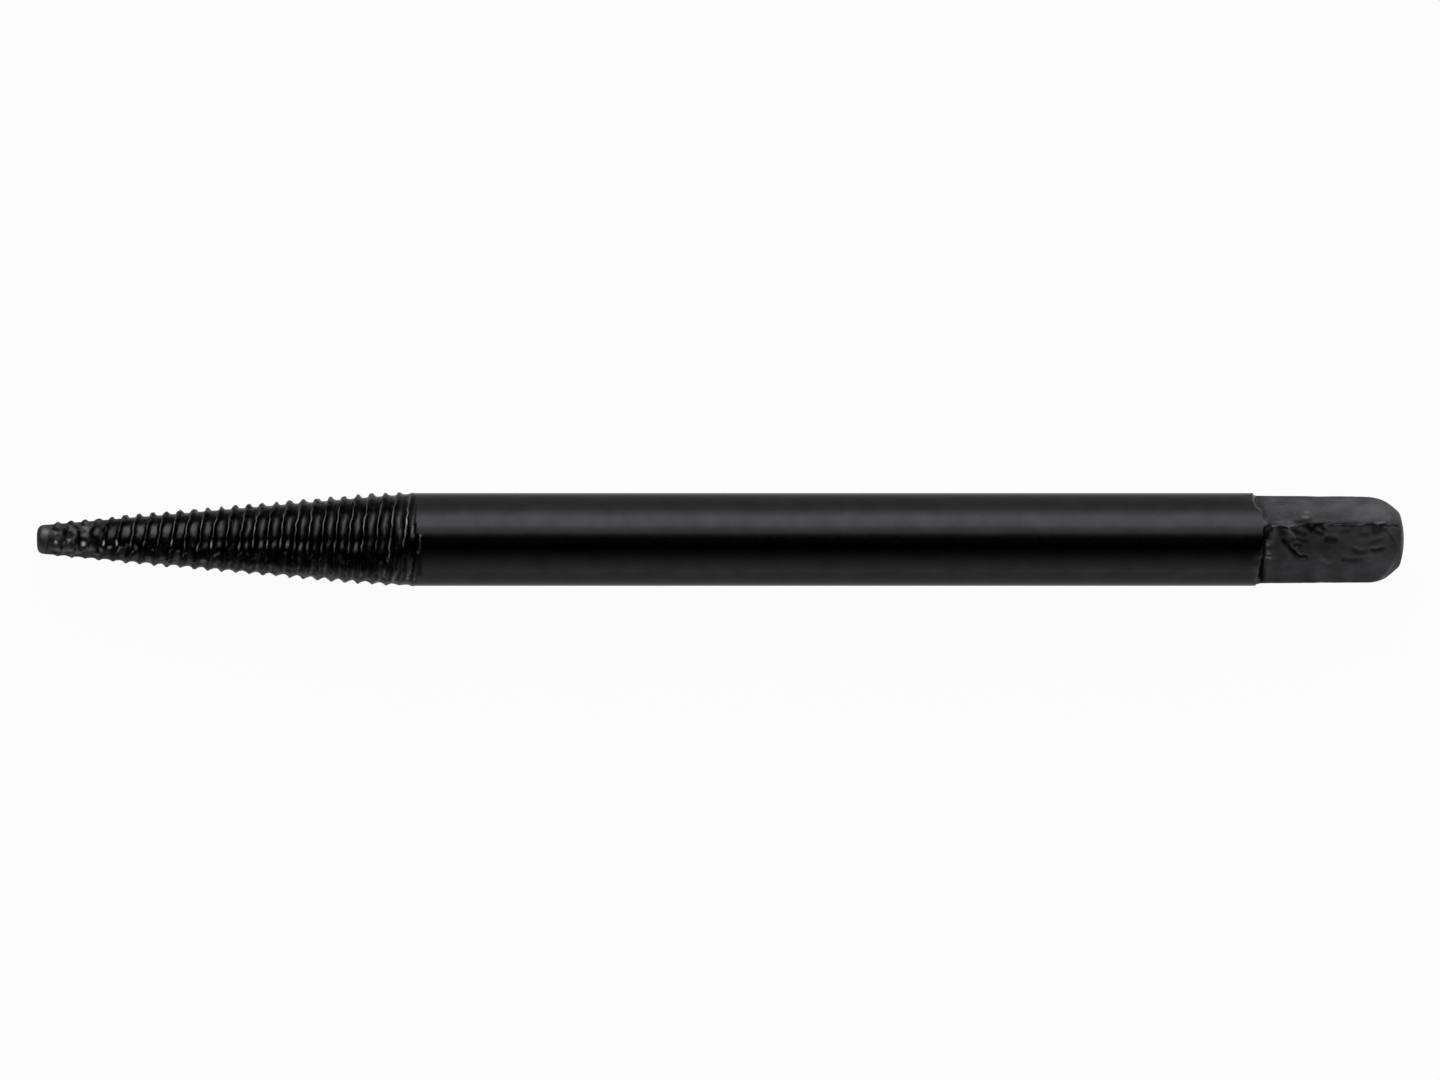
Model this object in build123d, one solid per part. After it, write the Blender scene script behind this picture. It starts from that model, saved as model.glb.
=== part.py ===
from build123d import *
from math import atan, degrees, radians, tan
import os

# Screw extractor, one piece of hardened steel. A slim round shank carries a tapered thread of
# two left-hand ridges at the tip, which bite as they are turned backwards into a drilled hole,
# and a drafted square for a tap wrench at the other end. Lengths are in millimetres and angles
# in degrees. The tool is built upright, with its tip at height 0, and laid along X at the end.

# Whole tool
overall_length = 50.0
shank_diameter = 3.4

# Root cone of the thread, which widens from the tip until it meets the shank
root_cone_length = 13.9
tip_root_diameter = 1.03
tip_corner_radius = 0.24

# Ridges of the thread, whose crests follow each other at the crest pitch
ridge_count = 2
crest_pitch = 0.5
ridge_height = 0.135
tip_side_flank = 36.0
shank_side_flank = 46.0
ridge_sunk_depth = 0.05

# Start of the ridges, low at first, with the first crest of the +Y side
ridge_start = 0.4
ridge_start_height = 0.03
first_crest = 0.745
first_crest_height = 0.06
run_in_length = 4.1

# End of the ridges: the crest line bends, peaks a little over the shank and closes in on it
crest_bend_before_shank = 1.65
crest_peak_before_shank = 0.75
crest_over_shank = 0.042
ridge_end_before_shank = 0.15
trim_clearance = 0.01

# Square for the wrench: four drafted flats, and a sloped shoulder with a rounded shank edge
square_length = 5.12
square_shoulder_width = 2.47
square_end_width = 2.34
square_turn = 24.8
shoulder_slope = 70.0
shoulder_foot_radius = 0.08
shank_edge_drop = 0.05
shank_edge_slope = 15.0
shank_edge_radius = 0.15

# Turned end of the square: a wide convex chamfer round a shallow crown
end_chamfer_length = 0.82
end_chamfer_radius = 1.2
crown_diameter = 2.0
crown_height = 0.17
crown_corner_radius = 0.3

# Values that follow from the sizes above
shank_radius = shank_diameter / 2
tip_root_radius = tip_root_diameter / 2
root_slope = (shank_radius - tip_root_radius) / root_cone_length
root_cone_angle = degrees(atan(root_slope))
ridge_end = root_cone_length - ridge_end_before_shank
ridge_lead = ridge_count * crest_pitch
square_start = overall_length - square_length
clear_of_tool = 2 * shank_diameter


def root_radius(height):
    """Radius of the root cone at a height above the tip."""
    return tip_root_radius + root_slope * height


def rounded(face, corners):
    """Round the corners of a flat face, each given as its place and its radius."""
    for place, radius in corners:
        face = fillet(face.vertices().sort_by_distance(place)[0], radius)
    return face


def turned(face):
    """Turn a half section, drawn as radius and height, about the axis of the tool."""
    return revolve(Plane.XZ * face, axis=Axis.Z)


def blank():
    """Tip, root cone, shank and domed end as one turned body."""
    crown_edge = (crown_diameter / 2, overall_length - crown_height)
    chamfer_edge = (shank_radius, crown_edge[1] - end_chamfer_length)
    tip_edge = (tip_root_radius, 0)
    outline = Polyline(
        (0, overall_length),
        (0, 0),
        tip_edge,
        (shank_radius, root_cone_length),
        chamfer_edge,
        crown_edge,
    )
    crown = TangentArc((0, overall_length), crown_edge, tangent=(1, 0))
    half_section = rounded(
        make_face(outline + crown),
        [
            (tip_edge, tip_corner_radius),
            (chamfer_edge, end_chamfer_radius),
            (crown_edge, crown_corner_radius),
        ],
    )
    return turned(half_section)


def thread_ridge(number):
    """One left-hand ridge, wound on the root cone with its foot sunk below the surface."""
    path = Helix(
        pitch=ridge_lead,
        height=ridge_end - ridge_start,
        radius=root_radius(ridge_start),
        center=(0, 0, ridge_start),
        cone_angle=root_cone_angle,
        lefthand=True,
    )
    full_height = ridge_height + ridge_sunk_depth
    section = Polygon(
        (-ridge_sunk_depth, -full_height * tan(radians(tip_side_flank))),
        (ridge_height, 0),
        (-ridge_sunk_depth, full_height * tan(radians(shank_side_flank))),
        align=None,
    )
    section_plane = Plane(origin=path @ 0, x_dir=(1, 0, 0), z_dir=(0, -1, 0))
    ridge = sweep(section_plane * section, path=path, is_frenet=True)
    turns_to_first_crest = (first_crest - ridge_start) / ridge_lead
    start_angle = 90 + 360 * (turns_to_first_crest + number / ridge_count)
    return Rot(0, 0, start_angle) * ridge


def run_in_waste():
    """Ring outside the low crests of the first turns."""
    below_start = ridge_start - crest_pitch / 2
    return turned(
        Polygon(
            (clear_of_tool, below_start),
            (root_radius(below_start) + ridge_start_height, below_start),
            (root_radius(ridge_start) + ridge_start_height, ridge_start),
            (root_radius(first_crest) + first_crest_height, first_crest),
            (root_radius(run_in_length) + ridge_height + trim_clearance, run_in_length),
            (clear_of_tool, run_in_length),
            align=None,
        )
    )


def run_out_waste():
    """Ring outside the last crests, which peaks over the shank and then closes in on it."""
    bend = root_cone_length - crest_bend_before_shank
    peak = root_cone_length - crest_peak_before_shank
    return turned(
        Polygon(
            (clear_of_tool, bend),
            (root_radius(bend) + ridge_height + trim_clearance, bend),
            (shank_radius + crest_over_shank, peak),
            (shank_radius + trim_clearance, root_cone_length),
            (clear_of_tool, root_cone_length),
            align=None,
        )
    )


def flat_waste():
    """Steel beside one flat of the square, up to the sloped shoulder and the shank's edge."""
    shoulder_half = square_shoulder_width / 2
    draft = (square_shoulder_width - square_end_width) / 2 / square_length
    past_end = overall_length + shank_radius
    foot = (shoulder_half, square_start)
    edge_reach = shank_radius - shank_edge_drop
    shoulder_length = (edge_reach - shoulder_half) / tan(radians(shoulder_slope))
    edge = (edge_reach, square_start - shoulder_length)
    far_edge = edge[1] - (clear_of_tool - edge_reach) / tan(radians(shank_edge_slope))
    side = Polygon(
        (clear_of_tool, past_end),
        (shoulder_half - draft * (past_end - square_start), past_end),
        foot,
        edge,
        (clear_of_tool, far_edge),
        align=None,
    )
    side = rounded(side, [(foot, shoulder_foot_radius), (edge, shank_edge_radius)])
    return extrude(Plane.XZ * side, amount=shank_diameter, both=True)


def screw_extractor():
    """The whole tool, laid along X with its middle on the origin and its tip at -X."""
    tool = blank()
    for quarter in range(4):
        tool = tool - Rot(0, 0, square_turn + 90 * quarter) * flat_waste()
    for number in range(ridge_count):
        tool = tool + thread_ridge(number)
    tool = tool - run_in_waste() - run_out_waste()
    return Pos(-overall_length / 2, 0, 0) * Rot(0, 90, 0) * tool


os.makedirs("parts", exist_ok=True)
export_step(screw_extractor(), "parts/screw_extractor.step")
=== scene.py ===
from math import atan2, cos, degrees, hypot, pi, radians, sin, sqrt, tan

import bmesh
import bpy
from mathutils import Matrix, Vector, noise


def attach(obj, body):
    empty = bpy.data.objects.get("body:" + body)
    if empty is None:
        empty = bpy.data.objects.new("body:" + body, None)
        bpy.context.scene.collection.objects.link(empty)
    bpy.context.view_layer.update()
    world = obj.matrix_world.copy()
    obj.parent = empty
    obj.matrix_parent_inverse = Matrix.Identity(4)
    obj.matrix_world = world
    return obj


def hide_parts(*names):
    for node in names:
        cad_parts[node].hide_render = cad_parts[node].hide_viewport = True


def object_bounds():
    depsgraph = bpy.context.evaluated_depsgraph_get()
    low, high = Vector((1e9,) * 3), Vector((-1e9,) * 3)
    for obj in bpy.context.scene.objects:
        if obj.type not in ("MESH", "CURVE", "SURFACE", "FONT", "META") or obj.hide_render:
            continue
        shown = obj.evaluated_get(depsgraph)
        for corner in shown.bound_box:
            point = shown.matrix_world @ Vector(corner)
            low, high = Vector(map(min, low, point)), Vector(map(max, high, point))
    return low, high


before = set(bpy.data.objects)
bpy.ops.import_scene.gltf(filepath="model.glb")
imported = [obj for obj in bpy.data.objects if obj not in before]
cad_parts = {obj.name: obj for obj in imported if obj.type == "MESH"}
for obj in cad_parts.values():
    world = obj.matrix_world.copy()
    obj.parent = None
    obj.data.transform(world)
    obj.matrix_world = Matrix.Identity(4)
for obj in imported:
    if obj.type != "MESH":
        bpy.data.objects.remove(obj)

cadLow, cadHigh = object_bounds()
mm = 0.001    # lengths below are in millimetres, and angles in degrees
toolLength = 50.0
tipX = -toolLength / 2    # the tool lies along X with its tip here
squareTurn = 24.8    # of the square about the tool, and of each ring of points with it
noise.seed_set(1)    # the same frayed outlines in each run

# how near counts as the same place, for each kind of place, and the least weight that is kept
closeBy = dict(point=0.01, wound=0.0005, cut=0.0001, sliced=0.00001, ring=0.0005,
               merged=0.002, seam=0.02)
leastWeight = 0.0005


# Selecting and shaping, as used by every stage

def clearSelection():
    if bpy.context.object and bpy.context.object.mode == "EDIT":
        bpy.ops.object.mode_set(mode="OBJECT")
    bpy.ops.object.select_all(action="DESELECT")


def only(piece):
    clearSelection()
    piece.select_set(True)
    bpy.context.view_layer.objects.active = piece


def pickVerts(test):
    bpy.ops.mesh.select_mode(type="VERT")
    bpy.ops.mesh.select_all(action="DESELECT")
    shape = bmesh.from_edit_mesh(bpy.context.object.data)
    for vert in shape.verts:
        if test(vert.co):
            vert.select_set(True)
    shape.select_flush_mode()
    bmesh.update_edit_mesh(bpy.context.object.data)


def pickEdges(test):
    bpy.ops.mesh.select_mode(type="EDGE")
    bpy.ops.mesh.select_all(action="DESELECT")
    shape = bmesh.from_edit_mesh(bpy.context.object.data)
    for edge in shape.edges:
        if test(edge):
            edge.select_set(True)
    shape.select_flush_mode()
    bmesh.update_edit_mesh(bpy.context.object.data)


def weigh(piece, name, weightAt):
    group = piece.vertex_groups.new(name=name)
    for vert in piece.data.vertices:
        weight = weightAt(vert.co / mm)
        if weight > leastWeight:
            group.add([vert.index], weight, "REPLACE")
    return group.name


def displace(piece, group, strength, grain=None, middle=0.0, along="NORMAL", depth=2):
    only(piece)
    bpy.ops.object.modifier_add(type="DISPLACE")
    push = piece.modifiers[-1]
    push.vertex_group = group
    push.strength = strength * mm
    push.mid_level = middle
    push.direction = along
    if grain:
        clouds = bpy.data.textures.new(f"{group} grain", type="CLOUDS")
        clouds.noise_scale = grain * mm
        clouds.noise_depth = depth
        push.texture = clouds
        push.texture_coords = "LOCAL"
    bpy.ops.object.modifier_apply(modifier=push.name)


def paint(piece, name, valueAt):
    layer = piece.data.attributes.new(name, "FLOAT", "POINT")
    for vert in piece.data.vertices:
        layer.data[vert.index].value = valueAt(vert.co / mm)


def turnWithSquare():
    bpy.ops.mesh.select_all(action="SELECT")
    bpy.ops.transform.rotate(
        value=-radians(squareTurn), orient_axis="X", center_override=(0, 0, 0))


def clipped(value):
    return min(1, max(0, value))


def rising(value, low, high):
    # softly from 0 to 1
    part = clipped((value - low) / (high - low))
    return part * part * (3 - 2 * part)


def inside(value, first, last):
    # 1 between two soft edges, each given by its two ends
    return rising(value, *first) * (1 - rising(value, *last))


def turnOf(point):
    # round the tool from +Z towards +Y
    return degrees(atan2(point.y, point.z))


def between(pairs, place):
    # straight from pair to pair, and level past both ends
    if place <= pairs[0][0]:
        return pairs[0][1]
    for (a, low), (b, high) in zip(pairs, pairs[1:]):
        if place <= b:
            return low + (high - low) * (place - a) / (b - a)
    return pairs[-1][1]


# A round piece grows ring by ring from a circle, as radius and height above the tip

def startRing(name, height, radius, segments):
    clearSelection()
    bpy.ops.mesh.primitive_circle_add(
        vertices=segments, radius=radius * mm, fill_type="NOTHING",
        location=((tipX + height) * mm, 0, 0), rotation=(0, pi / 2, 0))
    piece = bpy.context.object
    piece.name = name
    bpy.ops.object.transform_apply(location=True, rotation=True, scale=True)
    bpy.ops.object.mode_set(mode="EDIT")
    bpy.ops.mesh.select_all(action="SELECT")
    return piece


def growRings(rings):
    for (height, radius), (nextHeight, nextRadius) in zip(rings, rings[1:]):
        bpy.ops.mesh.extrude_region_move(
            TRANSFORM_OT_translate={"value": ((nextHeight - height) * mm, 0, 0)})
        grow = nextRadius / radius
        bpy.ops.transform.resize(
            value=(1, grow, grow), center_override=((tipX + nextHeight) * mm, 0, 0))


def cornerArc(before, corner, after, radius, steps):
    # rounds a corner of the outline, given as height and radius of its points
    a, c, b = Vector(before), Vector(corner), Vector(after)
    toA, toB = (a - c).normalized(), (b - c).normalized()
    half = toA.angle(toB) / 2
    centre = c + (toA + toB).normalized() * radius / sin(half)
    first = c + toA * radius / tan(half) - centre
    last = c + toB * radius / tan(half) - centre
    sweep = first.angle_signed(last)
    points = []
    for step in range(steps + 1):
        turn = -sweep * step / steps
        points.append((
            centre.x + first.x * cos(turn) - first.y * sin(turn),
            centre.y + first.x * sin(turn) + first.y * cos(turn)))
    return points


# Thread: one lead of the profile is wound by a screw modifier, cut square, tapered and raised

thread = dict(
    starts=2, lead=1.0, firstCrest=0.745, stepsPerTurn=128,
    begins=0.3, ends=13.93, spareTurns=2,    # wound past both ends and cut there
    rootAtTip=0.515, rootSlope=0.08525,
    # one ridge, as place along the tool from its crest, and share of its full height there,
    # where it is slim near the tip and where it is full near the shank
    ridge=[(-0.2, 0.0, 0.0), (-0.16, 0.02, 0.04), (-0.12, 0.06, 0.13), (-0.085, 0.2, 0.32),
           (-0.05, 0.58, 0.66), (-0.022, 1.0, 1.0), (0.022, 1.0, 1.0), (0.055, 0.58, 0.64),
           (0.092, 0.22, 0.33), (0.13, 0.07, 0.16), (0.17, 0.02, 0.05), (0.23, 0.0, 0.0)],
    fullHeight=0.15,
    # height of the crests over the root along the tool
    heights=[(0.32, 0.0), (0.5, 0.05), (0.745, 0.07), (2.2, 0.092), (4.2, 0.13), (8.2, 0.136),
             (11.0, 0.15), (12.2, 0.145), (13.1, 0.106), (13.65, 0.06), (13.88, 0.0)],
    fullAlong=(4.0, 10.0),
    # the ridges are blunt on the -Y side, and here and there a little is lost from a crest
    bluntSide=(0.6, 0.95), bluntBy=0.9, bluntLoss=0.2, ragged=0.55, raggedGrain=0.5,
    # they wander a little and their flanks are pitted
    wander=0.12, wanderGrain=0.35, pitted=0.018, pittedGrain=0.16,
    roughAlong=((0.35, 0.8), (13.5, 13.85)),
)


def rootRadius(height):
    return thread["rootAtTip"] + thread["rootSlope"] * height


def crestPitch():
    return thread["lead"] / thread["starts"]


def pastCrest(point, first):
    # place along the tool from a crest, counted from the first place on
    # left-handed: the ridges move towards the tip as they climb from +Y to +Z
    turn = atan2(point.z, point.y) / (2 * pi)
    along = point.x - tipX - thread["firstCrest"] + thread["lead"] * turn
    return (along - first) % crestPitch() + first


def ridgeShare(point):
    first = thread["ridge"][0][0]
    full = rising(point.x - tipX, *thread["fullAlong"])
    outline = [(place, slimShare + (fullShare - slimShare) * full)
               for place, slimShare, fullShare in thread["ridge"]]
    return between(outline + [(crestPitch() + first, 0.0)], pastCrest(point, first))


def makeThread():
    clearSelection()
    middleRadius = rootRadius(-tipX)    # of the same cone, at the middle of the tool
    steps = [place for place, slimShare, fullShare in thread["ridge"]]
    places = [start * crestPitch() + place for start in range(thread["starts"]) for place in steps]
    places.append(places[0] + thread["lead"])
    turnsBack = thread["spareTurns"] + squareTurn / 360
    lowest = tipX + thread["firstCrest"] - thread["lead"] * turnsBack
    # a plane is cut down to one corner, which is drawn out into the profile
    corner = Vector(((lowest + places[0]) * mm, middleRadius * mm, 0))
    half = 0.5    # of the plane's side
    bpy.ops.mesh.primitive_plane_add(
        size=2 * half * mm,
        location=((lowest + places[0] + half) * mm, (middleRadius - half) * mm, 0))
    piece = bpy.context.object
    piece.name = "thread"
    bpy.ops.object.transform_apply(location=True, rotation=True, scale=True)
    bpy.ops.object.mode_set(mode="EDIT")
    pickVerts(lambda co: (co - corner).length > closeBy["point"] * mm)
    bpy.ops.mesh.delete(type="VERT")
    bpy.ops.mesh.select_all(action="SELECT")
    for here, there in zip(places, places[1:]):
        bpy.ops.mesh.extrude_vertices_move(
            TRANSFORM_OT_translate={"value": ((there - here) * mm, 0, 0)})
    bpy.ops.object.mode_set(mode="OBJECT")
    bpy.ops.object.modifier_add(type="SCREW")
    wind = piece.modifiers[-1]
    wind.axis = "X"
    wind.angle = -2 * pi    # turns it left-handed
    wind.screw_offset = thread["lead"] * mm
    wind.iterations = int(thread["ends"] / thread["lead"]) + 2 * thread["spareTurns"]
    wind.steps = wind.render_steps = thread["stepsPerTurn"]
    wind.use_smooth_shade = True
    bpy.ops.object.modifier_apply(modifier=wind.name)
    bpy.ops.object.mode_set(mode="EDIT")
    bpy.ops.mesh.select_all(action="SELECT")
    bpy.ops.mesh.remove_doubles(threshold=closeBy["wound"] * mm)
    step = 2 * pi / thread["stepsPerTurn"]
    offStep = 0.01    # as a share of a step
    for cut, inner in ((thread["begins"], True), (thread["ends"], False)):
        cutX = (tipX + cut) * mm
        bpy.ops.mesh.select_all(action="SELECT")
        bpy.ops.mesh.bisect(
            plane_co=(cutX, 0, 0), plane_no=(1, 0, 0),
            clear_inner=inner, clear_outer=not inner, threshold=closeBy["sliced"] * mm)
        # the cut keeps one point for each step of the winding
        pickVerts(lambda co: abs(co.x - cutX) < closeBy["cut"] * mm
                  and abs((atan2(co.z, co.y) / step + 0.5) % 1 - 0.5) > offStep)
        bpy.ops.mesh.dissolve_verts()
    turnWithSquare()
    bpy.ops.object.mode_set(mode="OBJECT")
    # tapered to the root cone
    bpy.ops.object.modifier_add(type="SIMPLE_DEFORM")
    cone = piece.modifiers[-1]
    cone.deform_method = "TAPER"
    cone.deform_axis = "X"
    cone.factor = thread["rootSlope"] / middleRadius * (thread["ends"] - thread["begins"])
    bpy.ops.object.modifier_apply(modifier=cone.name)

    def ridgeWeight(point):
        blunt = rising(-point.y / hypot(point.y, point.z), *thread["bluntSide"])
        broad = 1 + thread["bluntBy"] * blunt
        rise = between(thread["heights"], point.x - tipX) / thread["fullHeight"]
        lost = thread["ragged"] * max(0, noise.noise(point / thread["raggedGrain"]))
        left = (1 - thread["bluntLoss"] * blunt) * (1 - lost)
        return ridgeShare(point) ** (1 / broad) * rise * left

    displace(piece, weigh(piece, "ridge", ridgeWeight), thread["fullHeight"])
    return piece


# Tip: a small flat face with a wide round edge, up to the first turn of the thread

tip = dict(edgeRadius=0.24, edgeSteps=9, rings=[0.25], faceRings=2, faceInset=0.09)


def makeTip():
    edge = cornerArc(
        (0, 0), (0, rootRadius(0)), (1, rootRadius(1)), tip["edgeRadius"], tip["edgeSteps"])
    rings = edge + [(height, rootRadius(height)) for height in tip["rings"]]
    piece = startRing("tip", *rings[0], thread["stepsPerTurn"])
    bpy.ops.mesh.edge_face_add()
    for ring in range(tip["faceRings"]):
        bpy.ops.mesh.inset(thickness=tip["faceInset"] * mm)
    bpy.ops.mesh.poke()
    rim = rings[0][1] - closeBy["point"]
    pickEdges(lambda edge: all(hypot(vert.co.y, vert.co.z) > rim * mm for vert in edge.verts))
    growRings(rings)
    turnWithSquare()
    return piece


# Shank, square and domed end, drawn as one row of rings on the shank's corners

body = dict(
    segments=256, shankRadius=1.7, begins=13.97, shankTo=44.2, shankRings=20,
    markRings=7, markRingStep=0.035,    # where the thread leaves its last marks
    shoulderAt=44.88, shoulderHalf=1.235, endHalf=1.17,
    shoulderSlope=70, footRadius=0.08, footSteps=4,
    edgeDrop=0.05, edgeSlope=15, edgeRadius=0.15, edgeSteps=5, edgeRings=[44.4, 44.62],
    flatFrom=45.06, flatTo=48.45, flatRings=88,
    chamferLength=0.82, chamferRadius=1.2, chamferSteps=16,
    chamferRings=[0.14, 0.28, 0.42, 0.56, 0.7, 0.84],    # as shares of its straight part
    crownRadius=1.0, crownHeight=0.17, crownCorner=0.3, crownSteps=6,
    crownRings=[0.85, 0.72, 0.58, 0.44, 0.3, 0.16],    # as radii
    # the edges of the square are a little worn, and faces shade smoothly into each other
    wornFrom=44.3, wornAngle=14, smoothAngle=40,
)


def cutterLine():
    # distance of the cutter from the axis along the tool: shank edge, shoulder, drafted flat
    b = body
    foot = (b["shoulderAt"], b["shoulderHalf"])
    reach = b["shankRadius"] - b["edgeDrop"]
    edge = (foot[0] - (reach - foot[1]) / tan(radians(b["shoulderSlope"])), reach)
    onBy = 1.0    # the line goes on over the shank
    out = (edge[0] - onBy, edge[1] + onBy * tan(radians(b["edgeSlope"])))
    end = (toolLength, b["endHalf"])
    return ([out] + cornerArc(out, edge, foot, b["edgeRadius"], b["edgeSteps"])
            + cornerArc(edge, foot, end, b["footRadius"], b["footSteps"]) + [end])


def endRings():
    b = body
    crownEdge = (toolLength - b["crownHeight"], b["crownRadius"])
    chamferEdge = (crownEdge[0] - b["chamferLength"], b["shankRadius"])
    ball = (b["crownRadius"] ** 2 + b["crownHeight"] ** 2) / (2 * b["crownHeight"])
    crown = [(toolLength - ball + sqrt(ball ** 2 - radius ** 2), radius)
             for radius in b["crownRings"]]
    chamfer = cornerArc(
        (0, b["shankRadius"]), chamferEdge, crownEdge, b["chamferRadius"], b["chamferSteps"])
    rounding = cornerArc(chamferEdge, crownEdge, crown[0], b["crownCorner"], b["crownSteps"])
    face = [tuple(Vector(chamfer[-1]).lerp(Vector(rounding[0]), part))
            for part in b["chamferRings"]]
    return chamfer + face + rounding + crown


def makeBody():
    b = body
    cutter = cutterLine()
    shank = [b["begins"] + (b["shankTo"] - b["begins"]) * step / b["shankRings"]
             for step in range(b["shankRings"] + 1)]
    shank += [b["begins"] + b["markRingStep"] * (step + 1) for step in range(b["markRings"])]
    shoulder = b["edgeRings"] + [height for height, reach in cutter[1:-1]] + [b["flatFrom"]]
    plain = sorted(shank + shoulder + [b["flatTo"]])
    rings = [(height, b["shankRadius"]) for height in plain] + endRings()
    piece = startRing("screwExtractor", *rings[0], b["segments"])
    growRings(rings)
    bpy.ops.mesh.edge_face_add()
    bpy.ops.mesh.poke()
    # each ring past the shank's edge is pressed flat on four sides
    for height, radius in rings:
        reach = between(cutter, height)
        if height < cutter[0][0] or reach > radius:
            continue
        ringX = (tipX + height) * mm
        for axis in (1, 2):
            for side in (1, -1):
                pickVerts(lambda co: abs(co.x - ringX) < closeBy["ring"] * mm
                          and side * co[axis] > (reach + closeBy["cut"]) * mm)
                squash = [1, 1, 1]
                squash[axis] = 0
                centre = [ringX, 0, 0]
                centre[axis] = side * reach * mm
                bpy.ops.transform.resize(value=squash, center_override=centre)
    # the long flats get rings close enough for the dents
    low, high = ((tipX + b[key]) * mm for key in ("flatFrom", "flatTo"))
    pickEdges(lambda edge: abs(abs(edge.verts[0].co.x - edge.verts[1].co.x) - (high - low))
              < closeBy["point"] * mm)
    bpy.ops.mesh.subdivide_edgering(number_cuts=b["flatRings"], interpolation="LINEAR")
    bpy.ops.mesh.select_all(action="SELECT")
    bpy.ops.mesh.remove_doubles(threshold=closeBy["merged"] * mm)
    turnWithSquare()
    return piece


def boundaryBetween(low, high):
    low, high = ((tipX + height) * mm for height in (low, high))
    pickEdges(lambda edge: edge.is_boundary
              and all(low < vert.co.x < high for vert in edge.verts))


def joinPieces(piece, others):
    only(piece)
    for other in others:
        other.select_set(True)
    bpy.ops.object.join()
    bpy.ops.object.mode_set(mode="EDIT")
    for low, high in ((tip["rings"][-1], thread["begins"]), (thread["ends"], body["begins"])):
        boundaryBetween(low - closeBy["seam"], high + closeBy["seam"])
        bpy.ops.mesh.bridge_edge_loops()
    bpy.ops.mesh.select_all(action="SELECT")
    bpy.ops.mesh.normals_make_consistent(inside=False)
    bpy.ops.mesh.select_mode(type="EDGE")
    bpy.ops.mesh.select_all(action="DESELECT")
    bpy.ops.mesh.edges_select_sharp(sharpness=radians(body["wornAngle"]))
    shape = bmesh.from_edit_mesh(piece.data)
    for edge in shape.edges:
        if edge.select and edge.verts[0].co.x < (tipX + body["wornFrom"]) * mm:
            edge.select_set(False)
    shape.select_flush_mode()
    bpy.ops.mesh.vertices_smooth(factor=0.5, repeat=2)
    bpy.ops.object.mode_set(mode="OBJECT")


# Marks of use on the side in view. Each is a line of points along X and Y, with its half width,
# the rise of the surface along it and how much lighter or darker it is there, from oxide and painted
# light

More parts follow.
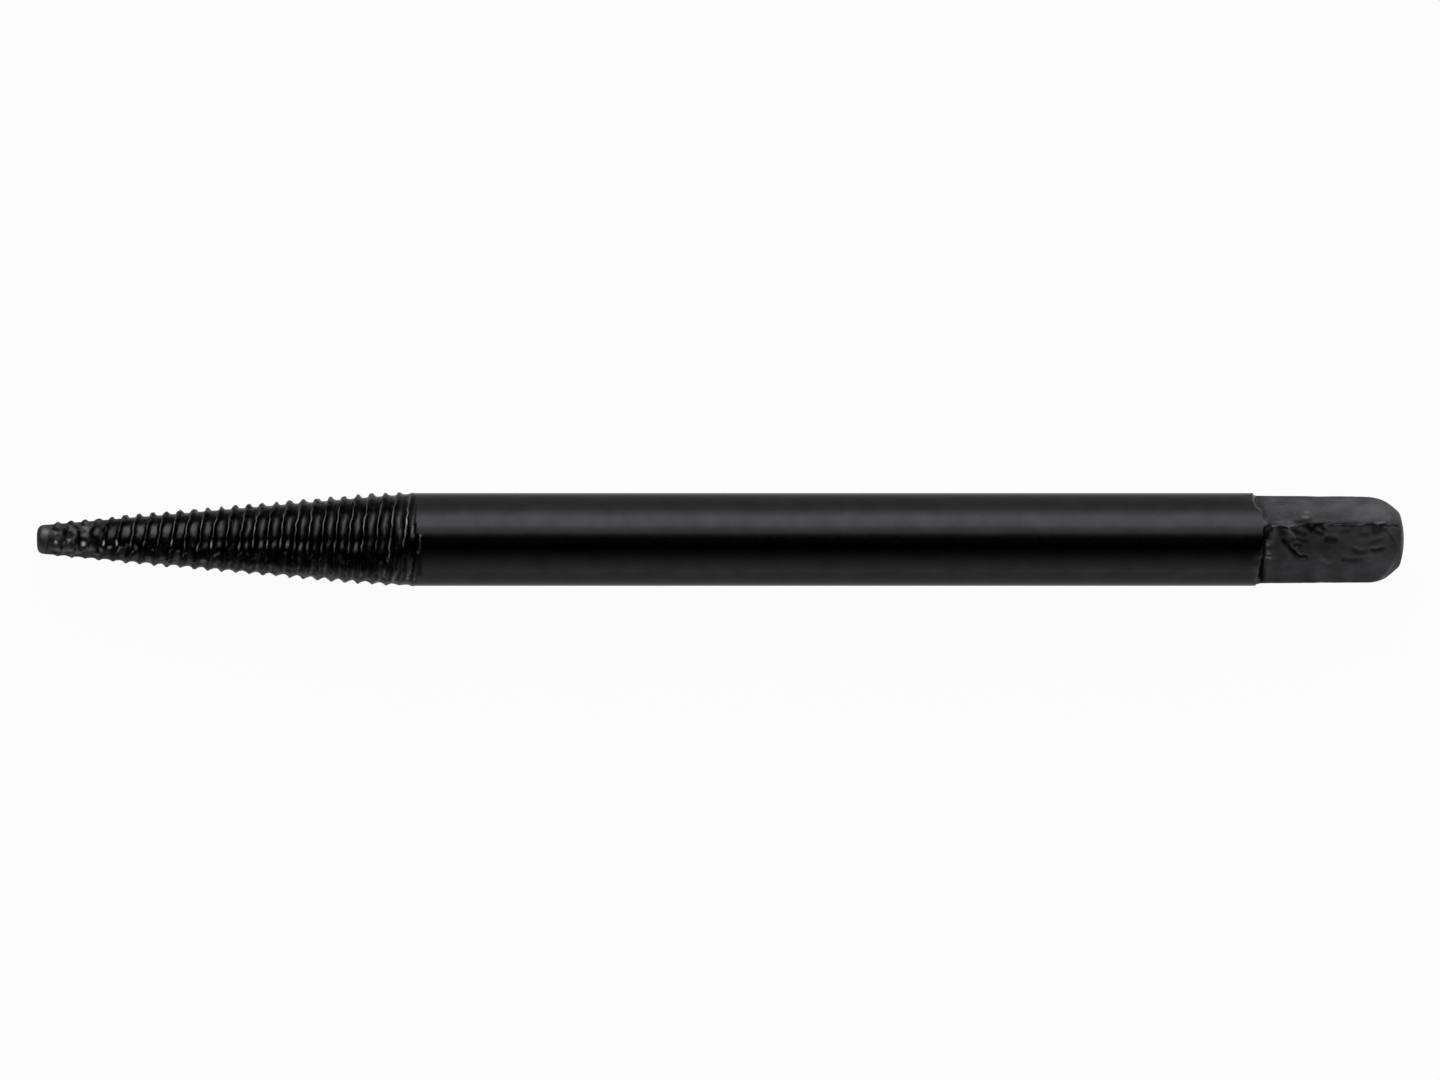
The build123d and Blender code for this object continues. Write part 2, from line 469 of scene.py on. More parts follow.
marks = dict(
    lines=[
        # long gouge with its lips
        ([(20.51, 0.01), (20.62, -0.15), (20.77, -0.31), (20.89, -0.41), (20.99, -0.55),
          (21.13, -0.64), (21.35, -0.65)], 0.06, -0.09, 0.25),
        ([(20.79, -0.08), (20.88, -0.28)], 0.06, 0.035, 1.6),
        ([(21.0, -0.33), (21.17, -0.52)], 0.07, 0.035, 1.5),
        # cut across the corner, with two lips above it and three dents below
        ([(20.95, 0.63), (21.21, 0.67), (21.5, 0.72)], 0.06, -0.07, 0.4),
        ([(21.22, 0.82), (21.43, 0.84)], 0.03, 0.03, 1.8),
        ([(21.35, 0.99), (21.5, 0.99)], 0.03, 0.01, 1.8),
        ([(21.32, 0.55), (21.43, 0.45), (21.54, 0.38)], 0.08, -0.08, 0.2),
        ([(21.57, 0.44), (21.68, 0.52), (21.83, 0.53), (21.96, 0.4)], 0.07, -0.06, 0.25),
        ([(21.54, 0.34), (21.68, 0.31), (21.9, 0.23)], 0.07, -0.04, 0.3),
        # sliver raised beside a broad dent
        ([(20.7, 0.38), (20.8, 0.27), (20.94, 0.1)], 0.05, 0.05, 2.2),
        ([(20.38, 0.36), (20.55, 0.14), (20.66, -0.06)], 0.1, -0.04, 0.5),
        ([(20.36, 0.41), (20.62, 0.41)], 0.04, 0, 0.25),
        ([(20.95, 0.34), (21.13, 0.27), (21.24, 0.2)], 0.1, -0.035, 0.5),
        ([(20.88, 0.07), (21.06, 0.05), (21.21, -0.02), (21.35, -0.04)], 0.05, -0.03, 0.45),
        ([(20.88, -0.19), (21.13, -0.19)], 0.07, -0.03, 0.4),
        ([(21.28, -0.46), (21.86, -0.39)], 0.26, 0, 0.74),
        ([(20.3, -0.1), (20.4, -0.6)], 0.2, 0, 0.68),
        # small dents towards the end
        ([(22.08, 0.05), (22.41, 0.01)], 0.09, -0.03, 0.4),
        ([(22.6, 0.31), (22.82, 0.33)], 0.07, -0.015, 0.7),
        ([(23.33, 0.2), (23.55, 0.22)], 0.06, -0.02, 0.5),
        ([(23.77, 0.53), (23.86, 0.38), (24.02, 0.42)], 0.12, -0.03, 0.5),
        ([(24.06, 0.5), (24.72, 0.48)], 0.03, -0.03, 0.4),
        ([(23.8, 0.62), (24.2, 0.62)], 0.02, 0, 1.8),
        ([(23.07, -0.35), (23.26, -0.44), (23.51, -0.44)], 0.08, -0.02, 0.55),
        ([(23.11, -0.24), (23.4, -0.31)], 0.06, 0.01, 1.15),
        ([(23.69, -0.11), (23.91, -0.02), (24.13, 0.03)], 0.06, -0.015, 0.65),
        ([(23.69, -0.22), (24.1, -0.22)], 0.05, 0.01, 1.3),
        ([(23.73, -0.37), (23.91, -0.38), (24.13, -0.31)], 0.06, -0.02, 0.5),
        ([(22.71, -0.7), (23.04, -0.74), (23.33, -0.7)], 0.07, -0.02, 0.6),
        ([(21.94, -0.64), (22.19, -0.79)], 0.09, 0.02, 1.25),
        ([(21.79, -1.38), (21.97, -1.16)], 0.13, 0, 1.25),
        ([(24.21, -1.39), (24.35, -1.39)], 0.04, 0.01, 4.0),
        # corner between the flats, lighter patches on the upper flat and a darker one
        ([(19.95, 0.6), (21.1, 0.6)], 0.1, 0, 0.65),
        # the corner painted darker here, a painted shade over its highlight
        ([(21.4, 0.58), (23.7, 0.58)], 0.06, 0, 0.35),
        ([(22.6, 1.35), (23.4, 1.15)], 0.3, 0, 1.15),
        ([(23.9, 1.3), (24.6, 0.85)], 0.3, 0, 1.2),
        ([(22.0, 1.1), (22.4, 0.8)], 0.25, 0, 0.86),
        # shoulder: notch, lens, gap, specks and the edge below them
        ([(19.47, 1.7), (19.54, 1.6), (19.67, 1.4), (19.81, 1.15), (19.85, 1.0)], 0.05, 0, 0.3),
        ([(19.49, 1.6), (19.52, 1.4), (19.62, 1.25), (19.71, 1.16), (19.82, 0.98), (19.88, 0.85)],
         0.04, 0, 0.35),
        ([(19.76, 1.47), (19.89, 1.47)], 0.03, 0, 1.8),
        ([(20.04, 0.0), (20.1, 0.17), (20.2, 0.33)], 0.12, 0.02, 2.1),
        ([(19.91, 0.07), (19.94, 0.27), (20.07, 0.38)], 0.04, -0.03, 0.1),
        ([(19.91, -0.17), (20.01, -0.08)], 0.04, 0.04, 3.5),
        ([(19.94, -0.39), (19.95, -0.5)], 0.03, 0.04, 2.5),
        ([(19.91, -0.63), (20.02, -0.63)], 0.03, 0.04, 3.0),
        # painted shadow in the gap at the foot of the shoulder
        ([(19.76, -0.68), (19.76, -1.41)], 0.06, 0, 0.2),
        # painted highlight on the shank's rounded edge beside it
        ([(19.63, -0.68), (19.58, -0.97), (19.54, -1.49)], 0.06, 0, 2.0),
        # last turns of the thread: bare streaks and a slot before a short burr
        ([(-11.03, 0.11), (-11.05, -0.33)], 0.05, -0.04, 0.15),
        ([(-10.95, 0.12), (-10.94, -0.3), (-11.02, -0.44)], 0.04, 0.03, 4.0),
        ([(-11.24, 0.4), (-11.19, 0.15), (-11.21, -0.1)], 0.04, 0.02, 9.0),
        ([(-11.5, 0.35), (-11.53, -0.2)], 0.03, 0, 5.0),
        ([(-11.68, 0.3), (-11.7, -0.35)], 0.035, 0, 8.0),
        ([(-12.05, 0.05), (-12.1, -0.6)], 0.03, 0, 3.5),
        ([(-11.13, 0.6), (-11.14, 0.2)], 0.05, -0.03, 0.5),
        ([(-11.34, 0.7), (-11.36, -0.1)], 0.05, -0.03, 0.3),
        ([(-11.43, 1.5), (-11.43, 0.8)], 0.03, 0, 1.5),
        ([(-11.43, 0.72), (-11.44, 0.54)], 0.03, 0, 5.0),
        ([(-11.56, 0.9), (-11.6, 0.0)], 0.05, -0.02, 0.4),
        ([(-11.68, 0.78), (-11.7, -0.02)], 0.03, 0, 1.3),
        ([(-11.22, -0.61), (-11.29, -1.05), (-11.42, -1.49)], 0.03, 0.02, 7.0),
        ([(-11.12, -0.5), (-11.2, -1.1)], 0.07, -0.02, 0.4),
        ([(-11.68, -0.7), (-11.75, -1.1), (-11.95, -1.55)], 0.035, 0.01, 6.0),
        # painted shade of the last turn, on the shank beside it
        ([(-10.97, -0.7), (-10.98, -1.25)], 0.09, 0, 0.35),
        ([(-12.1, -0.6), (-12.3, -1.35)], 0.035, 0, 12.0),
        ([(-11.2, 1.45), (-11.24, 0.75)], 0.07, 0, 0.7),
        # bright specks at the tip, painted glints, and pale patches
        ([(-24.29, -0.1), (-24.27, -0.12)], 0.04, 0.02, 12.0),
        ([(-23.96, -0.1), (-23.95, -0.12)], 0.03, 0.02, 9.0),
        ([(-23.79, -0.02), (-23.82, -0.13)], 0.03, 0.02, 7.0),
        ([(-23.26, -0.11), (-23.25, -0.2)], 0.04, 0.02, 12.0),
        ([(-24.67, 0.31), (-24.49, 0.27)], 0.1, 0, 1.7),
        ([(-23.24, 0.53), (-23.19, 0.34)], 0.09, 0, 1.6),
        ([(-24.02, 0.3), (-23.86, 0.1)], 0.08, -0.02, 0.15),
        ([(-23.42, 0.25), (-23.38, -0.35)], 0.06, -0.02, 0.15),
    ],
    # stretches along X that have no marks
    unmarked=[(-22.8, -12.5), (-10.7, 19.3)],
    # deepest mark, its frayed outline and its uneven bottom
    deepest=0.2, frayGrain=0.2, frayBy=0.03, evenPart=0.9, unevenBy=0.6, unevenGrain=0.25,
    # corner between the two flats in view, rolled over near the shoulder and worn after it
    cornerTurn=20.2, cornerUneven=0.6, cornerGrain=0.5,
    corner=[(19.9, 0.0), (20.05, 0.13), (20.8, 0.13), (21.0, 0.1), (21.2, 0.02), (21.6, 0.0),
            (22.0, 0.05), (22.8, 0.04), (23.4, 0.05), (23.7, 0.0)],
    # soft waves over the square, which fade at the shoulder and at the domed end
    cloudGrain=0.6, cloudDepth=0.03, fineGrain=0.13, fineDepth=0.003,
    wavesTo=24.6, fadeIn=0.1, fadeOut=0.3,
    # how much nearer the tip the shoulder is along Y, and where along X it takes the surface along
    shoulder=[(-1.7, 0.2), (-0.7, 0.06), (-0.6, 0.0), (0.96, 0.0), (1.19, 0.27), (1.6, 0.27)],
    shoulderFrom=(18.9, 19.4), shoulderTo=(19.95, 20.5), shoulderShift=0.27,
    shoulderSide=(-1.2, -0.8),
)


def toLine(point, line):
    # how far the point is from a line, seen along Z
    reaches = []
    for (ax, ay), (bx, by) in zip(line, line[1:]):
        dx, dy = bx - ax, by - ay
        part = clipped(((point.x - ax) * dx + (point.y - ay) * dy) / (dx * dx + dy * dy))
        reaches.append(hypot(point.x - ax - part * dx, point.y - ay - part * dy))
    return min(reaches)


def marksAt(point):
    # how fully each mark near the point reaches it, up to twice its half width
    if point.z < 0 or any(low < point.x < high for low, high in marks["unmarked"]):
        return []
    frayed = point + noise.noise_vector(point / marks["frayGrain"]) * marks["frayBy"]
    found = []
    for line, halfWidth, rise, tone in marks["lines"]:
        away = toLine(frayed, line) / halfWidth / 2
        if away < 1:
            found.append(((1 - away ** 2) ** 2, rise, tone))
    return found


def flatReach(x):
    # distance of the flats from the axis
    draft = (body["shoulderHalf"] - body["endHalf"]) / (toolLength - body["shoulderAt"])
    return body["shoulderHalf"] - draft * (x - tipX - body["shoulderAt"])


def cornerLoss(point):
    # what the worn corner lacks, measured square to its two flats
    if point.x < marks["corner"][0][0] or point.x > marks["corner"][-1][0]:
        return 0
    uneven = 1 + marks["cornerUneven"] * noise.noise(point / marks["cornerGrain"])
    lost = between(marks["corner"], point.x) * uneven
    turn = radians(marks["cornerTurn"])
    over = point.y * sin(turn) + point.z * cos(turn) - (flatReach(point.x) * sqrt(2) - lost)
    return max(0, over) * sqrt(2)


def shoulderWeight(point):
    # 1 where the shoulder in view comes closest to the tip
    moved = between(marks["shoulder"], point.y) / marks["shoulderShift"]
    moved *= rising(point.z, *marks["shoulderSide"])
    return moved * inside(point.x, marks["shoulderFrom"], marks["shoulderTo"])


def markWeight(side):
    # 1 for the raised lips and -1 for the dents
    def weight(point):
        rise = max([side * lift * part for part, lift, tone in marksAt(point)], default=0)
        rise *= marks["evenPart"] + marks["unevenBy"] * noise.noise(point / marks["unevenGrain"])
        if side < 0:
            rise += cornerLoss(point)
        return clipped(rise / marks["deepest"])
    return weight


def waveWeight(point):
    fromShoulder = point.x - tipX - body["shoulderAt"]
    fromEnd = marks["wavesTo"] - point.x
    return clipped(fromShoulder / marks["fadeIn"]) * clipped(fromEnd / marks["fadeOut"])


def markPiece(piece):
    displace(piece, weigh(piece, "shoulder", shoulderWeight), -marks["shoulderShift"], along="X")
    displace(piece, weigh(piece, "pressed", markWeight(-1)), -marks["deepest"])
    displace(piece, weigh(piece, "raised", markWeight(1)), marks["deepest"])
    square = weigh(piece, "square", waveWeight)
    displace(piece, square, marks["cloudDepth"], marks["cloudGrain"], middle=0.5)
    displace(piece, square, marks["fineDepth"], marks["fineGrain"], middle=0.5)


# Tone of the oxide and of painted light, which multiplies its shade, and how coarse the surface is

oxide = dict(
    # dirt and painted shade in the thread along two sides, each between two soft edges that are turns
    # from +Z towards +Y, with how much of it is left on the crests and how evenly it lies
    dirtAndShadeSides=[((32, 44), (57, 69), 0.1, 1.25), ((-54, -42), (-18, -6), 0.9, 0.9)],
    dirtAndShadeAlong=((1.7, 3.3), (13.0, 13.7)), dirtAndShade=0.9, dirtAndShadeGrain=0.4,
    # crests, by their share of the ridge's height, lighter on the upper side as a painted highlight
    crestShare=(0.7, 1.0), crestAlong=(2.5, 5.0), crestTone=1.4, crestSide=((-20, -10), (85, 95)),
    # a paler lower side, a painted reflection, with patches and a few specks
    paleSide=((-95, -75), (-52, -42)), paleTone=0.4, palePatches=0.9, paleGrain=0.22,
    paleSpecks=9, paleSpecksOver=0.35,
    # a row of bright specks on the crests near the top, painted glints, and fainter ones on the root
    specksAlong=(2.2, 13.2), speckTurn=-9, speckReach=8.5, speckStray=6, strayGrain=0.4, strayRow=2.5,
    speckTone=22, rootSpecks=0.5, evenSpecks=0.7, unevenSpecks=1.4, leastSpecks=0.3,
    speckGrain=0.45, speckRow=0.5,
    # loose bright specks, painted glints, in the darker side below them
    looseSide=((-39, -29), (-17, -7)), looseTone=22, looseOver=0.25, looseGrain=0.16,
    alongLoose=[(1.5, 0.0), (2.5, 1.0), (5.0, 1.0), (6.5, 0.35), (13.0, 0.15)],
    # dirt and painted shade at the feet of the ridges, by their share of the height there, and wider
    # up the thread
    footDirtAndShade=0.75, footFrom=(0.01, 0.09), wideFootFrom=(0.0, 0.02), footWidens=(5.0, 8.0),
    footTo=(0.8, 0.97), rootTone=1.05, rootEdge=(0.27, 0.33),
    # the tip is mottled, and the square is paler towards its end
    mottled=2.0, mottledGrain=0.18, mottledFrom=(0.2, 0.9), mottledTo=(2.0, 3.5), mottledLeast=0.15,
    # tipCrest darkens the crests near the tip, a painted shade over their highlight
    tipCrest=0.5, alongTip=[(0.3, 0.85), (0.9, 0.6), (3.0, 0.55), (3.5, 1.0)],
    acrossTip=[(-0.85, 1.45), (-0.3, 1.6), (0.0, 1.25), (0.3, 1.0)], acrossTo=(1.7, 2.6),
    alongSquare=[(20, 0.85), (22, 0.95), (24.5, 1.2)],
    acrossSquare=[(-0.6, 1.25), (-0.3, 1.05), (0.6, 1.0), (0.9, 1.2), (1.3, 1.2), (1.45, 1.45),
                  (1.55, 1.15)],
    # dome darkens the domed end towards -Y, a painted shade against the light it catches there
    dome=[(-0.9, 0.47), (-0.3, 0.85), (0.3, 0.85), (0.7, 1.0)], domeFrom=23.9, domeEdge=(0.04, 0.1),
    coarse=[(1.5, 1.0), (3.5, 0.2), (12.8, 0.2), (13.8, 0.0), (44.75, 0.0), (44.88, 1.0),
            (49.9, 1.0), (49.93, 0.1)],
)


def alongNoise(height, grain, row):
    # noise that changes only along the tool, with a row for each use
    return noise.noise(Vector((height / grain, row, 0)))


# bright specks in a row on the crests, painted glints
def speckTone(turn, height, glinting):
    o = oxide
    first, last = o["specksAlong"]
    if not first < height < last:
        return 0
    stray = o["speckStray"] * alongNoise(height, o["strayGrain"], o["strayRow"])
    inRow = max(0, 1 - abs(turn - o["speckTurn"] - stray) / o["speckReach"])
    wearAndGlint = o["evenSpecks"] + o["unevenSpecks"] * alongNoise(height, o["speckGrain"], o["speckRow"])
    return o["speckTone"] * glinting * inRow * max(o["leastSpecks"], wearAndGlint)


def threadTone(point, height):
    o = oxide
    turn = turnOf(point)
    share = ridgeShare(point)
    onCrest = rising(share, *o["crestShare"])
    nearTip = 1 - rising(height, *o["mottledTo"])
    wide = rising(height, *o["footWidens"])
    # dirt and painted shade along the two sides
    streaks = noise.noise(point / o["dirtAndShadeGrain"])
    sideDirtAndShade = max(inside(turn, first, last) * (1 - onCrest * (1 - crestDirtAndShade)) * min(1, even + streaks)
                 for first, last, crestDirtAndShade, even in o["dirtAndShadeSides"])
    tone = 1 - o["dirtAndShade"] * sideDirtAndShade * inside(height, *o["dirtAndShadeAlong"])
    # mottled tip
    spots = nearTip * rising(height, *o["mottledFrom"]) * noise.noise(point / o["mottledGrain"])
    tone *= max(o["mottledLeast"], 1 + o["mottled"] * spots)
    tone *= between(o["alongTip"], height)
    across = between(o["acrossTip"], point.y / hypot(point.y, point.z))
    tone *= across + (1 - across) * rising(height, *o["acrossTo"])
    # crests near the tip darker, a painted shade over their highlight
    tone *= 1 - (1 - o["tipCrest"]) * nearTip * onCrest
    # feet of the ridges, and the root with its dark edge, both darkened with dirt and painted shade
    offRoot = rising(share, *(narrowEnd + (wideEnd - narrowEnd) * wide
                              for narrowEnd, wideEnd in zip(o["footFrom"], o["wideFootFrom"])))
    atFoot = offRoot * (1 - rising(share, *o["footTo"]))
    tone *= 1 - o["footDirtAndShade"] * atFoot * (1 - nearTip)
    tone *= 1 + (o["rootTone"] - 1) * (1 - offRoot) * (1 - nearTip)
    edge, end = o["rootEdge"]
    if edge < pastCrest(point, 0) < end:
        tone *= 1 - o["footDirtAndShade"] * wide
    # crests lighter on the upper side, a painted highlight, and the paler lower side, a painted
    # reflection
    litAlong = rising(height, *o["crestAlong"])
    patch = noise.noise(point / o["paleGrain"])
    tone *= 1 + o["crestTone"] * litAlong * onCrest * inside(turn, *o["crestSide"]) * (1 + patch)
    patches = o["palePatches"] * patch + o["paleSpecks"] * max(0, patch - o["paleSpecksOver"])
    tone *= 1 + litAlong * inside(turn, *o["paleSide"]) * (o["paleTone"] + patches)
    # bright specks, painted glints
    tone += speckTone(turn, height, max(onCrest, o["rootSpecks"] * wide * (1 - offRoot)))
    loose = max(0, noise.noise(point / o["looseGrain"]) - o["looseOver"])
    loose *= inside(turn, *o["looseSide"]) * between(o["alongLoose"], height)
    return tone + o["looseTone"] * loose


def toneAt(point):
    height = point.x - tipX
    tone = 1
    for part, rise, shade in marksAt(point):
        tone *= 1 + (shade - 1) * part
    if height < thread["ends"]:
        tone *= threadTone(point, height)
    if height > body["shoulderAt"]:
        tone *= between(oxide["alongSquare"], point.x) * between(oxide["acrossSquare"], point.y)
    # the domed end painted darker towards -Y, a painted shade against the light it catches there
    if point.x > oxide["domeFrom"] and point.z > 0:
        turn = radians(squareTurn)
        fromFlats = max(point.z * cos(turn) - point.y * sin(turn),
                        point.y * cos(turn) + point.z * sin(turn))
        onDome = rising(flatReach(point.x) - fromFlats, *oxide["domeEdge"])
        tone *= 1 - (1 - between(oxide["dome"], point.y)) * onDome
    return tone


def roughenThread(piece):
    wound = weigh(piece, "wound", lambda point: inside(point.x - tipX, *thread["roughAlong"]))
    displace(piece, wound, thread["wander"], thread["wanderGrain"], middle=0.5, along="X", depth=1)
    displace(piece, wound, thread["pitted"], thread["pittedGrain"], middle=1.0)


threadPiece = makeThread()
print("thread wound and tapered")
tipPiece = makeTip()
print("tip rounded")
piece = makeBody()
print("shank and square shaped")
joinPieces(piece, [threadPiece, tipPiece])
print("joined")
markPiece(piece)
print("marks pressed and raised")
paint(piece, "tone", toneAt)
paint(piece, "coarse", lambda point: between(oxide["coarse"], point.x - tipX))
roughenThread(piece)
print("oxide toned and thread roughened")
only(piece)
bpy.ops.object.shade_smooth_by_angle(angle=radians(body["smoothAngle"]))
piece.vertex_groups.clear()


# Steel with a black oxide finish

finish = dict(
    # darkest and palest shade and finest and coarsest roughness, where it is smooth and coarse
    shade=(0.0252, 0.0315), coarseShade=(0.056, 0.103),
    roughness=(0.2, 0.26), coarseRoughness=(0.4, 0.6),
    tint=(0.945, 0.936, 1.0), edgeTint=(0.7, 0.7, 0.7, 1),
    # bare steel and the painted glints are rougher, by their tone
    wornTone=(1.5, 5.0), wornRoughness=0.3,
    cloudSize=0.7, grainSize=0.12, drawnAcross=0.03, drawnAlong=1.6, detail=2, noiseSpan=(0.3, 0.7),
    bumpDepth=0.0015, coarseBump=0.11, smoothBump=0.06,
)


def makeFinish():
    f = finish
    steel = bpy.data.materials.new("blackOxideSteel")
    steel.use_nodes = True
    nodes, links = steel.node_tree.nodes, steel.node_tree.links
    shader = nodes["Principled BSDF"]
    shader.inputs["Metallic"].default_value = 1.0
    shader.inputs["Specular Tint"].default_value = f["edgeTint"]
    place = nodes.new("ShaderNodeTexCoord").outputs["Object"]

    def grain(sizes):
        spread = nodes.new("ShaderNodeMapping")
        spread.inputs["Scale"].default_value = [1 / (size * mm) for size in sizes]
        links.new(place, spread.inputs["Vector"])
        field = nodes.new("ShaderNodeTexNoise")
        field.inputs["Scale"].default_value = 1.0
        field.inputs["Detail"].default_value = f["detail"]
        links.new(spread.outputs["Vector"], field.inputs["Vector"])
        return field.outputs["Fac"]

    def ranged(value, low, high, newLow, newHigh):
        node = nodes.new("ShaderNodeMapRange")
        for name, number in zip(("From Min", "From Max", "To Min", "To Max"),
                                (low, high, newLow, newHigh)):
            node.inputs[name].default_value = number
        links.new(value, node.inputs["Value"])
        return node.outputs["Result"]

    def combined(first, second, work):
        node = nodes.new("ShaderNodeMath")
        node.operation = work
        links.new(first, node.inputs[0])
        links.new(second, node.inputs[1])
        return node.outputs["Value"]

    def painted(name):
        node = nodes.new("ShaderNodeAttribute")
        node.attribute_name = name
        return node.outputs["Fac"]

    coarse = painted("coarse")
    tone = painted("tone")
    clouds = grain([f["cloudSize"]] * 3)
    fine = grain([f["grainSize"]] * 3)
    drawn = grain([f["drawnAlong"], f["drawnAcross"], f["drawnAcross"]])

    def blended(field, onSmooth, onCoarse):
        # a value that the noise takes from one span on smooth steel and from another on coarse
        mix = nodes.new("ShaderNodeMix")
        links.new(coarse, mix.inputs["Factor"])
        links.new(ranged(field, *f["noiseSpan"], *onSmooth), mix.inputs["A"])
        links.new(ranged(field, *f["noiseSpan"], *onCoarse), mix.inputs["B"])
        return mix.outputs["Result"]

    grey = combined(blended(clouds, f["shade"], f["coarseShade"]), tone, "MULTIPLY")
    shade = nodes.new("ShaderNodeCombineColor")
    for name, part in zip(("Red", "Green", "Blue"), f["tint"]):
        links.new(ranged(grey, 0, 1, 0, part), shade.inputs[name])
    links.new(shade.outputs["Color"], shader.inputs["Base Color"])
    dull = blended(fine, f["roughness"], f["coarseRoughness"])
    wearAndGlint = ranged(tone, *f["wornTone"], 0, f["wornRoughness"])
    links.new(combined(dull, wearAndGlint, "ADD"), shader.inputs["Roughness"])

    bump = nodes.new("ShaderNodeBump")
    links.new(ranged(coarse, 0, 1, f["smoothBump"], f["coarseBump"]), bump.inputs["Strength"])
    bump.inputs["Distance"].default_value = f["bumpDepth"] * mm
    links.new(combined(drawn, fine, "ADD"), bump.inputs["Height"])
    links.new(bump.outputs["Normal"], shader.inputs["Normal"])
    return steel


piece.data.materials.clear()
piece.data.materials.append(makeFinish())
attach(piece, "root")
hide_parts("screw_extractor")
print("finished in black oxide")


# Floor, lamps and camera

studio = dict(
    # floor and lamps, in metres
    floorSize=3.0, floorColor=(0.93, 0.93, 0.93, 1), floorRoughness=0.9,
    floorGlow={"Is Camera Ray": 0.96, "Is Transmission Ray": 0.96, "Is Glossy Ray": 0.5},
    keySize=(0.7, 0.7), keyAt=(0, 0.42, 0.42), keyPower=1.85,
    coreSize=(0.6, 0.27), coreAt=(0, 0.36, 0.34), corePower=0.62,
    horizon=0.98, overhead=0.0, darkFrom=0.89, endShade=0.1, endSpan=(0.5, 0.95),
    # width of the picture at the tool and its middle, in millimetres
    lens=200, sensor=36.0, frameWidth=52.7, frameMiddle=(-0.02, -0.02), clip=(0.01, 20),
)


def makeFloor():
    clearSelection()
    bpy.ops.mesh.primitive_plane_add(size=studio["floorSize"], location=(0, 0, cadLow.z))
    floor = bpy.context.object
    floor.name = "floor"
    pale = bpy.data.materials.new("paleFloor")
    pale.use_nodes = True
    nodes, links = pale.node_tree.nodes, pale.node_tree.links
    shader = nodes["Principled BSDF"]
    shader.inputs["Base Color"].default_value = studio["floorColor"]
    shader.inputs["Roughness"].default_value = studio["floorRoughness"]
    shader.inputs["Specular IOR Level"].default_value = 0.0
    # part of its white comes from the rays that see it, and the rest keeps the shadow
    rays = nodes.new("ShaderNodeLightPath").outputs
    share = None
    for name, part in studio["floorGlow"].items():
        seen = nodes.new("ShaderNodeMath")
        seen.operation = "MULTIPLY_ADD"
        seen.inputs[1].default_value = part
        seen.inputs[2].default_value = 0
        links.new(rays[name], seen.inputs[0])
        if share:
            links.new(share.outputs["Value"], seen.inputs[2])
        share = seen
    glow = nodes.new("ShaderNodeEmission")
    mix = nodes.new("ShaderNodeMixShader")
    links.new(share.outputs["Value"], mix.inputs["Fac"])
    links.new(shader.outputs["BSDF"], mix.inputs[1])
    links.new(glow.outputs["Emission"], mix.inputs[2])
    links.new(mix.outputs["Shader"], nodes["Material Output"].inputs["Surface"])
    floor.data.materials.append(pale)


def makeLamp(name):
    at = Vector(studio[f"{name}At"])
    bpy.ops.object.light_add(type="AREA", location=at)
    lamp = bpy.context.object
    lamp.name = f"{name}Light"
    lamp.rotation_mode = "QUATERNION"
    lamp.rotation_quaternion = (-at).to_track_quat("-Z", "Y")
    lamp.data.shape = "RECTANGLE"
    lamp.data.size, lamp.data.size_y = studio[f"{name}Size"]
    lamp.data.energy = studio[f"{name}Power"]


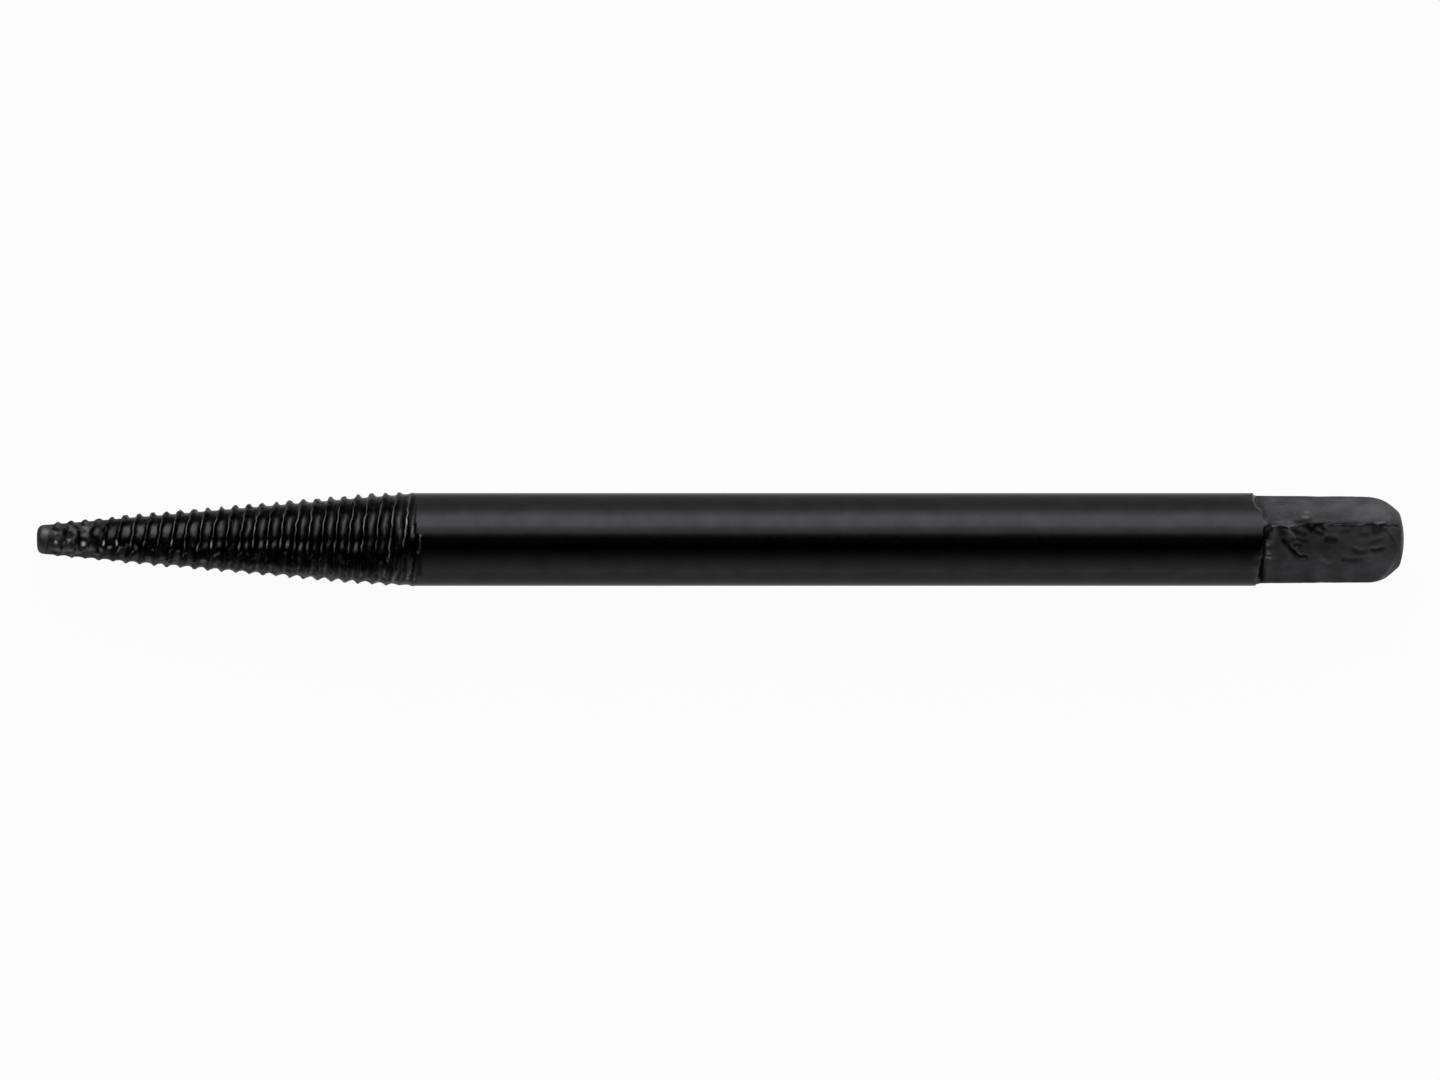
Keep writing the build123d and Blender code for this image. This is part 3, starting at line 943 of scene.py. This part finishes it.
def makeWorld():
    # pale walls on both long sides, dark at the ends and overhead
    world = bpy.data.worlds.new("studioWalls")
    bpy.context.scene.world = world
    world.use_nodes = True
    nodes, links = world.node_tree.nodes, world.node_tree.links
    look = nodes.new("ShaderNodeTexCoord").outputs["Generated"]
    direction = nodes.new("ShaderNodeSeparateXYZ")
    links.new(look, direction.inputs["Vector"])
    ramp = nodes.new("ShaderNodeMapRange")
    ramp.inputs["From Max"].default_value = studio["darkFrom"]
    ramp.inputs["To Min"].default_value = studio["horizon"]
    ramp.inputs["To Max"].default_value = studio["overhead"]
    links.new(direction.outputs["Z"], ramp.inputs["Value"])
    level = nodes.new("ShaderNodeVectorMath")
    level.operation = "MULTIPLY"
    level.inputs[1].default_value = (1, 1, 0)
    links.new(look, level.inputs[0])
    unit = nodes.new("ShaderNodeVectorMath")
    unit.operation = "NORMALIZE"
    links.new(level.outputs["Vector"], unit.inputs[0])
    heading = nodes.new("ShaderNodeSeparateXYZ")
    links.new(unit.outputs["Vector"], heading.inputs["Vector"])
    across = nodes.new("ShaderNodeMath")
    across.operation = "ABSOLUTE"
    links.new(heading.outputs["Y"], across.inputs[0])
    sides = nodes.new("ShaderNodeMapRange")
    for name, number in zip(("From Min", "From Max"), studio["endSpan"]):
        sides.inputs[name].default_value = number
    sides.inputs["To Min"].default_value = studio["endShade"]
    links.new(across.outputs["Value"], sides.inputs["Value"])
    walls = nodes.new("ShaderNodeMath")
    walls.operation = "MULTIPLY"
    links.new(ramp.outputs["Result"], walls.inputs[0])
    links.new(sides.outputs["Result"], walls.inputs[1])
    seen = nodes.new("ShaderNodeMath")
    seen.operation = "MAXIMUM"
    links.new(walls.outputs["Value"], seen.inputs[0])
    links.new(nodes.new("ShaderNodeLightPath").outputs["Is Camera Ray"], seen.inputs[1])
    links.new(seen.outputs["Value"], nodes["Background"].inputs["Strength"])
    nodes["Background"].inputs["Color"].default_value = (1, 1, 1, 1)


def makeCamera():
    # straight above the tool
    x, y = studio["frameMiddle"]
    z = studio["frameWidth"] * studio["lens"] / studio["sensor"]
    bpy.ops.object.camera_add(location=(x * mm, y * mm, z * mm), rotation=(0, 0, 0))
    camera = bpy.context.object
    camera.data.lens = studio["lens"]
    camera.data.sensor_width = studio["sensor"]
    camera.data.clip_start, camera.data.clip_end = studio["clip"]
    bpy.context.scene.camera = camera


makeFloor()
makeLamp("key")
makeLamp("core")
makeWorld()
makeCamera()
bpy.context.scene.view_settings.view_transform = "Standard"
print("floor, lamps and camera placed")
